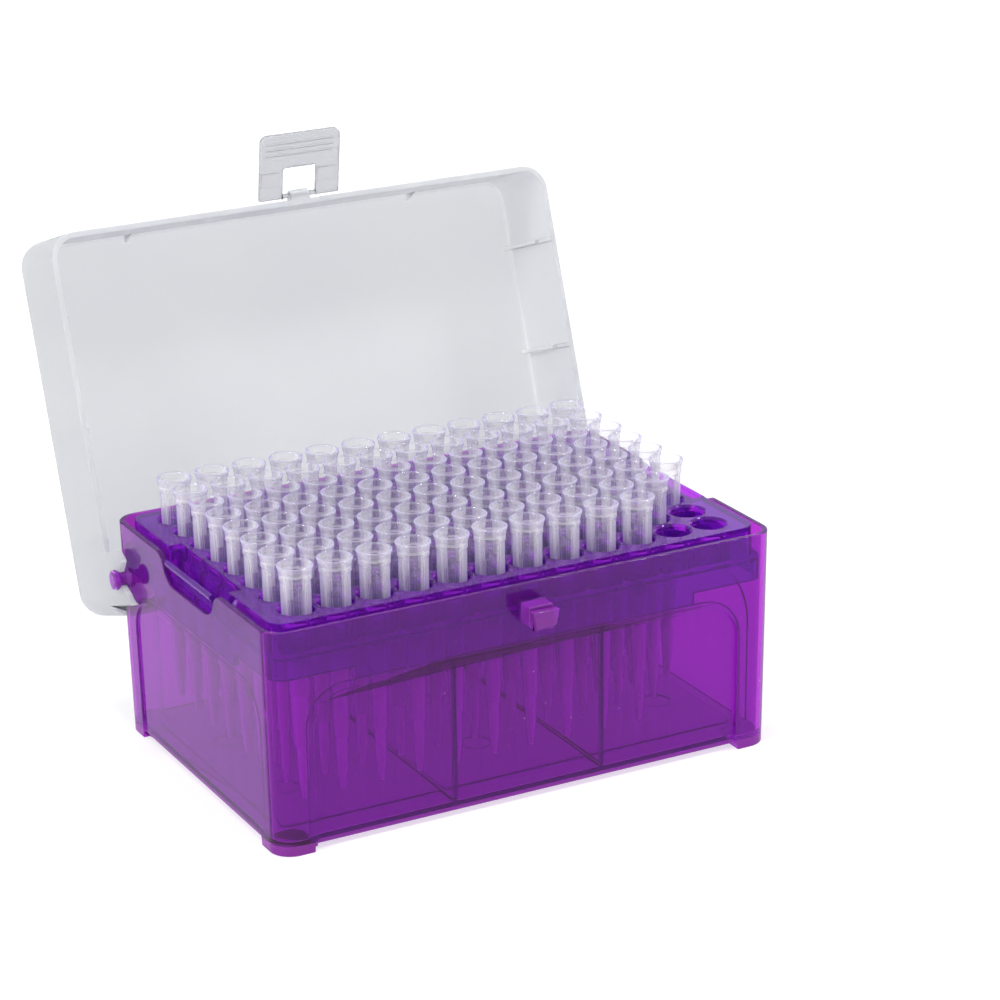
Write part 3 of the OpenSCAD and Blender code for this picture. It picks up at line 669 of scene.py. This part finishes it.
def dyed_polypropylene(name, haze, clarity, through, roughness, speck_spacing, thick_below=-9, thick_clarity=0.62):
    """Clear plastic tinted by its haze colour; below a height, in mm, it is thick and less clear."""
    material, tree = new_material(name)
    place = add_node(tree, "TexCoord")
    # Cooling waves about 9 mm long
    waves = add_node(tree, "TexNoise", {"Scale": 1 / (9 * mm), "Detail": 2.0}, {"Vector": place.outputs["Object"]})
    relief = add_node(tree, "Bump", {"Strength": 0.05, "Distance": 0.3 * mm}, {"Height": waves.outputs["Fac"]})
    gloss = add_node(tree, "MapRange", {"To Min": roughness * 0.7, "To Max": roughness * 1.4},
                     {"Value": waves.outputs["Fac"]})
    # One cell in four has a speck
    cells = add_node(tree, "TexVoronoi", {"Scale": 1 / (speck_spacing * mm)}, {"Vector": place.outputs["Object"]})
    near = add_node(tree, "Math", {"operation": "LESS_THAN", 1: speck_radius / speck_spacing},
                    {0: cells.outputs["Distance"]})
    rare = add_node(tree, "Math", {"operation": "GREATER_THAN", 1: 0.75}, {0: cells.outputs["Color"]})
    speck = add_node(tree, "Math", {"operation": "MULTIPLY"}, {0: near.outputs[0], 1: rare.outputs[0]})
    colour = add_node(tree, "MixRGB", {"Color1": linear(haze), "Color2": linear("#f6effa")},
                      {"Fac": speck.outputs[0]})
    height = add_node(tree, "SeparateXYZ", {}, {"Vector": place.outputs["Object"]})
    upper = add_node(tree, "MapRange", {"From Min": (thick_below - 0.3) * mm, "From Max": thick_below * mm,
                                        "To Min": thick_clarity, "To Max": clarity},
                     {"Value": height.outputs["Z"]})
    clear = add_node(tree, "MapRange", {"To Max": 0.35}, {"Value": speck.outputs[0], "To Min": upper.outputs[0]})
    surface = add_node(tree, "BsdfPrincipled", {"IOR": 1.28, "Specular IOR Level": 0.6},
                       {"Base Color": colour.outputs[0], "Transmission Weight": clear.outputs[0],
                        "Roughness": gloss.outputs[0], "Normal": relief.outputs["Normal"]})
    add_node(tree, "OutputMaterial", {},
             {"Surface": surface.outputs[0], "Volume": dyed(tree, through, wall).outputs[0]})
    return material


# The feet and the edge of the floor are thick, and scatter more.
purple_base = dyed_polypropylene("moulded violet polypropylene, base", "#c44ad8", 0.92, "#f8e2fc", 0.03, 5.0, 1.2)
purple_lugs = dyed_polypropylene("moulded violet polypropylene, solid lugs", "#c24ee4", 0.62, "#f8e4fc", 0.05, 5.0)
purple_ribs = dyed_polypropylene("moulded violet polypropylene, stiffeners", "#7c3a9c", 0.55, "#f8e2fc", 0.1, 5.0)
purple_rack = dyed_polypropylene("moulded violet polypropylene, rack", "#c04eea", 0.88, "#f6dcfc", 0.08, 6.0)

# %% [markdown]
# The lid is natural polypropylene with a matt tool finish inside. Light goes through it, but is spread
# so much that nothing behind it can be read. Its ribs and rim scatter more and look whiter than its top.
# Its inner walls and gussets fall in shade, and a lighter tint on them is painted light that lifts it.
# All of these get a second material with less clarity and a lighter tint.
# %% Frosted polypropylene
def frosted_polypropylene(name, clarity, darker, lighter):
    material, tree = new_material(name)
    place = add_node(tree, "TexCoord")
    # The matt tool's grain is finer than 0.1 mm; it is drawn 0.3 mm across so that it shows at all
    grain = add_node(tree, "TexNoise", {"Scale": 1 / (0.3 * mm), "Detail": 4.0}, {"Vector": place.outputs["Object"]})
    # The wall's thickness varies slowly, over about 30 mm
    cloud = add_node(tree, "TexNoise", {"Scale": 1 / (30 * mm), "Detail": 2.0}, {"Vector": place.outputs["Object"]})
    relief = add_node(tree, "Bump", {"Strength": 0.1, "Distance": 0.05 * mm}, {"Height": grain.outputs["Fac"]})
    gloss = add_node(tree, "MapRange", {"To Min": 0.42, "To Max": 0.56}, {"Value": cloud.outputs["Fac"]})
    tint = add_node(tree, "MixRGB", {"Color1": linear(darker), "Color2": linear(lighter)},
                    {"Fac": cloud.outputs["Fac"]})
    surface = add_node(tree, "BsdfPrincipled",
                       {"IOR": 1.49, "Specular IOR Level": 0.4, "Transmission Weight": clarity},
                       {"Base Color": tint.outputs[0], "Roughness": gloss.outputs[0],
                        "Normal": relief.outputs["Normal"]})
    add_node(tree, "OutputMaterial", {}, {"Surface": surface.outputs[0]})
    return material


frosted_lid = frosted_polypropylene("frosted natural polypropylene", 0.72, "#e2e4e8", "#eaebed")
# Painted light: the lighter tint of this second material lifts the shade on the lid's inner walls and gussets
frosted_walls_painted_light = frosted_polypropylene("frosted natural polypropylene, walls and edges", 0.6, "#f6f8fc", "#fcfdfe")

# %% [markdown]
# The latch is a clear moulding with the faint flow lines of a small part. It hazes a little towards its
# free end, where the plastic arrived last and coolest in the mould.
# %% Clear polypropylene
haze_start, haze_end = 105, 125


def clear_polypropylene(name, tint, clarity, end_clarity, ior, roughness, flow_width):
    """Clarity goes from its first value to its end value between the two haze heights, in mm."""
    material, tree = new_material(name)
    place = add_node(tree, "TexCoord")
    height = add_node(tree, "SeparateXYZ", {}, {"Vector": place.outputs["Object"]})
    flow = add_node(tree, "TexNoise", {"Scale": 1 / (flow_width * mm), "Detail": 2.0},
                    {"Vector": place.outputs["Object"]})
    relief = add_node(tree, "Bump", {"Strength": 0.03, "Distance": 0.1 * mm}, {"Height": flow.outputs["Fac"]})
    gloss = add_node(tree, "MapRange", {"To Min": roughness * 0.7, "To Max": roughness * 1.4},
                     {"Value": flow.outputs["Fac"]})
    clear = add_node(tree, "MapRange", {"From Min": haze_start * mm, "From Max": haze_end * mm,
                                        "To Min": clarity, "To Max": end_clarity},
                     {"Value": height.outputs["Z"]})
    surface = add_node(tree, "BsdfPrincipled", {"Base Color": linear(tint), "IOR": ior},
                       {"Transmission Weight": clear.outputs[0], "Roughness": gloss.outputs[0],
                        "Normal": relief.outputs["Normal"]})
    add_node(tree, "OutputMaterial", {}, {"Surface": surface.outputs[0]})
    return material


clear_latch = clear_polypropylene("polished clear polypropylene, latch", "#d9dade", 0.72, 0.66, 1.3, 0.18, 4.0)

# %% [markdown]
# The tips are natural polypropylene too, but their walls are only half a millimetre thick and polished.
# Refraction would be the plain way to draw them, but light would have to cross dozens of surfaces in a
# full rack, and the tips would turn grey. A wall this thin hardly bends light, so it is drawn as a
# surface that lets light straight through: Layer Weight gives a small cover where the wall is seen face
# on and a large one where it is seen edge on, which draws each tip's outline.
# %% Thin polypropylene
# Heights are in mm: the rim and the ring from the tip's top, the cone from the floor's underside
rim_height, rim_cover, rim_outline = 0.6, 0.2, 2.5
# The ring's cover is a painted highlight: a bright band on the small bead inside the mouth
ring_drop, ring_half, ring_highlight_cover = 1.98, 0.2, 0.25
cone_low, cone_high, cone_cover = 36, 42, 0.7


def thin_polypropylene(name, tint, edge_tint, face_on, edge_on):
    """Light passes straight through a wall seen face on, and is scattered where it is seen edge on."""
    material, tree = new_material(name)
    place = add_node(tree, "TexCoord")
    # Flow marks about 2 mm wide change the gloss
    flow = add_node(tree, "TexNoise", {"Scale": 1 / (2 * mm), "Detail": 2.0}, {"Vector": place.outputs["Object"]})
    gloss = add_node(tree, "MapRange", {"To Min": 0.04, "To Max": 0.1}, {"Value": flow.outputs["Fac"]})
    lean = add_node(tree, "LayerWeight", {"Blend": 0.5})
    cover = add_node(tree, "MapRange", {"From Min": 0.15, "From Max": 0.95, "To Min": face_on, "To Max": edge_on},
                     {"Value": lean.outputs["Facing"]})
    # The rim is thicker, so it covers more. The ring at the foot of the flared mouth is a small bead, and
    # its extra cover is a painted highlight, a bright ring.
    height = add_node(tree, "SeparateXYZ", {}, {"Vector": place.outputs["Object"]})
    rim = add_node(tree, "MapRange", {"From Min": (tip_rim - rim_height) * mm, "From Max": (tip_rim - 0.1) * mm,
                                      "To Max": rim_cover}, {"Value": height.outputs["Z"]})
    # Painted highlight: the band at the bead gets extra cover and looks bright
    ring = add_node(tree, "Math", {"operation": "COMPARE", 1: (tip_rim - ring_drop) * mm, 2: ring_half * mm},
                    {0: height.outputs["Z"]})
    ring = add_node(tree, "Math", {"operation": "MULTIPLY", 1: ring_highlight_cover}, {0: ring.outputs[0]})
    # Below the deck the cone is narrow, and its wall is a larger share of what is seen.
    cone = add_node(tree, "MapRange", {"From Min": cone_low * mm, "From Max": cone_high * mm,
                                       "To Min": cone_cover, "To Max": 0.0}, {"Value": height.outputs["Z"]})
    for extra_cover in (rim, cone, ring):
        cover = add_node(tree, "Math", {"operation": "ADD", "use_clamp": extra_cover == ring},
                         {0: cover.outputs[0], 1: extra_cover.outputs[0]})
    # Edge on, and at the rim, the wall takes the darker tint that light has after a long way through it.
    outline = add_node(tree, "MapRange", {"From Min": 0.45}, {"Value": lean.outputs["Facing"]})
    outline = add_node(tree, "Math", {"operation": "MULTIPLY_ADD", "use_clamp": True, 1: rim_outline},
                       {0: rim.outputs[0], 2: outline.outputs[0]})
    colour = add_node(tree, "MixRGB", {"Color1": linear(tint), "Color2": linear(edge_tint)},
                      {"Fac": outline.outputs[0]})
    surface = add_node(tree, "BsdfPrincipled", {"IOR": 1.49, "Specular IOR Level": 1.0},
                       {"Base Color": colour.outputs[0], "Alpha": cover.outputs[0],
                        "Roughness": gloss.outputs[0]})
    add_node(tree, "OutputMaterial", {}, {"Surface": surface.outputs[0]})
    return material


clear_tips = thin_polypropylene("thin clear polypropylene, tips", "#fcfbff", "#b8afe4", 0.06, 0.85)

# %% [markdown]
# The filter plugs are sintered polyethylene: white grains fused together with air between them, so
# they are matt and a little uneven.
# %% Sintered polyethylene
def sintered_polyethylene(name):
    material, tree = new_material(name)
    place = add_node(tree, "TexCoord")
    # Grains 0.35 mm across
    grains = add_node(tree, "TexVoronoi", {"Scale": 1 / (0.35 * mm)}, {"Vector": place.outputs["Object"]})
    pores = add_node(tree, "Bump", {"Strength": 0.5, "Distance": 0.1 * mm}, {"Height": grains.outputs["Distance"]})
    shade = add_node(tree, "MixRGB", {"Color1": linear("#fbfbfb"), "Color2": linear("#dfe0e4")},
                     {"Fac": grains.outputs["Distance"]})
    surface = add_node(tree, "BsdfPrincipled", {"Roughness": 0.85, "Specular IOR Level": 0.3},
                       {"Base Color": shade.outputs[0], "Normal": pores.outputs["Normal"]})
    add_node(tree, "OutputMaterial", {}, {"Surface": surface.outputs[0]})
    return material


white_filter = sintered_polyethylene("sintered polyethylene")

# %% [markdown]
# ## The rack
# The rack's wells, webs and grips are already right in the frame, so its piece starts as a copy of that
# mesh. The loose triangles are merged and joined into whole faces, and then the edges that show, on the
# deck and the grips, get the small radius that every moulded edge has.
# %% Merge the rack's triangles
rack_edge, rack_sharp = 0.15, 35
# Edges that lie deeper than this under the rack's top don't show, and stay sharp
deck_depth = 1.5
rack_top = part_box("tip_rack")[1][2]
rack = bpy.data.objects.new("box_rack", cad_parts["tip_rack"].data.copy())
bpy.context.scene.collection.objects.link(rack)
only(rack)
bpy.ops.object.mode_set(mode="EDIT")
bpy.ops.mesh.select_all(action="SELECT")
bpy.ops.mesh.remove_doubles(threshold=1e-6)
bpy.ops.mesh.dissolve_limited(angle_limit=0.02)
bpy.ops.mesh.select_mode(type="EDGE")
bpy.ops.mesh.select_all(action="DESELECT")
shape = bmesh.from_edit_mesh(rack.data)
print("rack after merging:", len(shape.faces), "faces")

# %% Round the rack's visible edges
rounded_edges = 0
for edge in shape.edges:
    shows = min(corner.co.z for corner in edge.verts) > rack_top - deck_depth * mm
    if shows and edge.is_manifold and edge.calc_face_angle() > math.radians(rack_sharp):
        edge.select_set(True)
        rounded_edges += 1
bmesh.update_edit_mesh(rack.data)
bpy.ops.mesh.bevel(offset=rack_edge * mm, segments=2, affect="EDGES", clamp_overlap=True)
leave_edit()
smooth_evenly(rack, rack_sharp)
print("rack:", len(rack.data.polygons), "faces,", rounded_edges, "edges rounded")

# %% [markdown]
# ## Put the pieces on the frame
# Each piece takes its material, rides on the body it belongs to and stands for its CAD node. The
# filters keep their CAD shape, because it is already right, and only get a finish.
# %% Finish and ride
def fit(piece, body, node, material):
    piece.data.materials.clear()
    piece.data.materials.append(material)
    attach(piece, body)
    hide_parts(node)


fit(base, "box", "base", purple_base)
fit(rack, "box", "tip_rack", purple_rack)
fit(lid, "lid", "lid", frosted_lid)
fit(latch, "latch", "latch", clear_latch)
for number, column in enumerate(columns, start=1):
    fit(column, "box", f"tips_column_{number:02d}", clear_tips)
for name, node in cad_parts.items():
    if name.startswith("filters"):
        node.data.materials.clear()
        node.data.materials.append(white_filter)

# %% [markdown]
# Some parts of a moulding are thicker than its walls, and light is tinted and scattered more on its way
# through them. Those faces get their own materials: the catch and the pins, which are solid lugs, and the
# stiffeners, which are seen edge on. The rim and ribs of the lid scatter more, and its inner walls and
# gussets get a lighter tint as painted light over their shade.
# %% Thicker parts of the base
base.data.materials.append(purple_lugs)
base.data.materials.append(purple_ribs)
for face in base.data.polygons:
    middle = face.center / mm
    on_pin = abs(middle.x) > half_x(pin_z) + 0.3
    on_stiffener = (abs(abs(middle.x) - stiffener_x) < 0.6 and abs(middle.y) > panel_inside - 1
                    and middle.z > floor_top + 0.8)
    face.material_index = 1 if on_pin or middle.y < -rim_y - 0.4 else 2 if on_stiffener else 0
print("base faces by material:",
      [sum(face.material_index == index for face in base.data.polygons) for index in range(3)])

# %% Whiter parts of the lid, and painted light on its shaded walls
lid.data.materials.append(frosted_walls_painted_light)
# Each face is turned back to the closed lid's frame, where the sizes above were measured.
shut = Matrix.Rotation(math.radians(open_angle), 3, "X")
turning = Vector((0, pin_y, pin_z))
for face in lid.data.polygons:
    middle = shut @ (face.center / mm - turning)
    facing = shut @ face.normal
    on_rim = facing.z < -0.5 and middle.z < back_rim + 0.5
    on_rib = (abs(facing.y) > 0.9 and abs(middle.x) > lid_x - wall - guide_depth - 0.1
              and lid_front + 4 < middle.y < lid_back - 4)
    on_gusset = (abs(abs(middle.x) - gusset_x) < 0.6 and middle.y < lid_front + wall + 3.5
                 and middle.z > lid_top - 14)
    outward = Vector((middle.x, middle.y - (lid_front + lid_back) / 2, 0))
    in_wall = abs(facing.z) < 0.6 and facing.dot(outward) < 0
    # Inner walls and gussets take the lighter material as painted light over their shade; the rim and ribs take it
    # because they scatter more
    face.material_index = 1 if on_rim or on_rib or on_gusset or in_wall else 0
print("whiter faces on the lid:", sum(face.material_index for face in lid.data.polygons))

# %% [markdown]
# ## The studio
# Clear plastic is lit from behind: it shows what is beyond it. A plain white surround and a pale floor
# are therefore the main light, and three soft lamps, from the left, the right and above, model the form.
# %% Floor
bpy.ops.object.select_all(action="DESELECT")
bpy.ops.mesh.primitive_circle_add(vertices=96, radius=4, fill_type="NGON", location=(0, 1.5, -foot_height * mm))
floor = settle("floor")
# Most of the floor's white is its own and the rest is lit, so that a soft shadow stays.
pale_floor, tree = new_material("white card floor")
lit = add_node(tree, "BsdfDiffuse", {"Color": linear("#bcbcbc")})
own = add_node(tree, "Emission", {"Color": linear("#ffffff"), "Strength": 0.62})
both = add_node(tree, "AddShader", {}, {0: lit.outputs[0], 1: own.outputs[0]})
add_node(tree, "OutputMaterial", {}, {"Surface": both.outputs[0]})
floor.data.materials.append(pale_floor)

# %% Surround
world = bpy.data.worlds.new("white surround")
bpy.context.scene.world = world
world.use_nodes = True
tree = world.node_tree
tree.nodes.clear()
path = add_node(tree, "LightPath")
# White to the eye, in reflections and through clear plastic; softer as light on matt surfaces
seen = add_node(tree, "Math", {"operation": "MAXIMUM"},
                {0: path.outputs["Is Camera Ray"], 1: path.outputs["Is Glossy Ray"]})
seen = add_node(tree, "Math", {"operation": "MAXIMUM"},
                {0: seen.outputs[0], 1: path.outputs["Is Transmission Ray"]})
soft = add_node(tree, "Background", {"Color": linear("#ffffff"), "Strength": 0.5})
white = add_node(tree, "Background", {"Color": linear("#ffffff"), "Strength": 1.0})
choice = add_node(tree, "MixShader", {}, {0: seen.outputs[0], 1: soft.outputs[0], 2: white.outputs[0]})
add_node(tree, "OutputWorld", {}, {"Surface": choice.outputs[0]})

# %% Lamps
# Each lamp: its name, where it shines from, its strength and how wide it looks, in degrees
lamps = [("left soft lamp", (-0.9, -0.3, 0.8), 1.15, 16),
         ("right soft lamp", (0.7, -0.35, 1.1), 1.1, 12),
         ("top soft lamp", (-0.1, 0.25, 1.0), 0.7, 10)]
for name, direction, energy, width in lamps:
    lamp = bpy.data.lights.new(name, "SUN")
    lamp.energy = energy
    lamp.angle = math.radians(width)
    lamp_stand = bpy.data.objects.new(name, lamp)
    lamp_stand.rotation_euler = Vector(direction).to_track_quat("Z", "Y").to_euler()
    bpy.context.scene.collection.objects.link(lamp_stand)

# %% [markdown]
# The camera looks down on the left front corner with a long lens. Its turn is built from three
# directions, which is easier to check than three angles.
# %% Camera
yaw, dip, roll = (math.radians(angle) for angle in (27.92, 19.63, -1.03))
forward = Vector((math.sin(yaw) * math.cos(dip), math.cos(yaw) * math.cos(dip), -math.sin(dip)))
level = Vector((math.cos(yaw), -math.sin(yaw), 0))
right = level * math.cos(roll) + level.cross(forward) * math.sin(roll)
up = right.cross(forward)
lens = bpy.data.cameras.new("camera")
lens.lens = 118
# The clip distances are in metres: the box is small and the floor is wide
lens.clip_start, lens.clip_end = 0.01, 50
camera = bpy.data.objects.new("camera", lens)
bpy.context.scene.collection.objects.link(camera)
stand = Vector((-305.03, -603.6, 295.21)) * mm
camera.matrix_world = Matrix.Translation(stand) @ Matrix((right, up, -forward)).transposed().to_4x4()

# %% Scene settings
scene = bpy.context.scene
scene.camera = camera
scene.view_settings.view_transform = "Standard"
# A ray that crosses a row of tips meets dozens of surfaces before it reaches the background.
scene.cycles.max_bounces = scene.cycles.transmission_bounces = scene.cycles.glossy_bounces = 32
scene.cycles.diffuse_bounces = 8
scene.cycles.transparent_max_bounces = 96
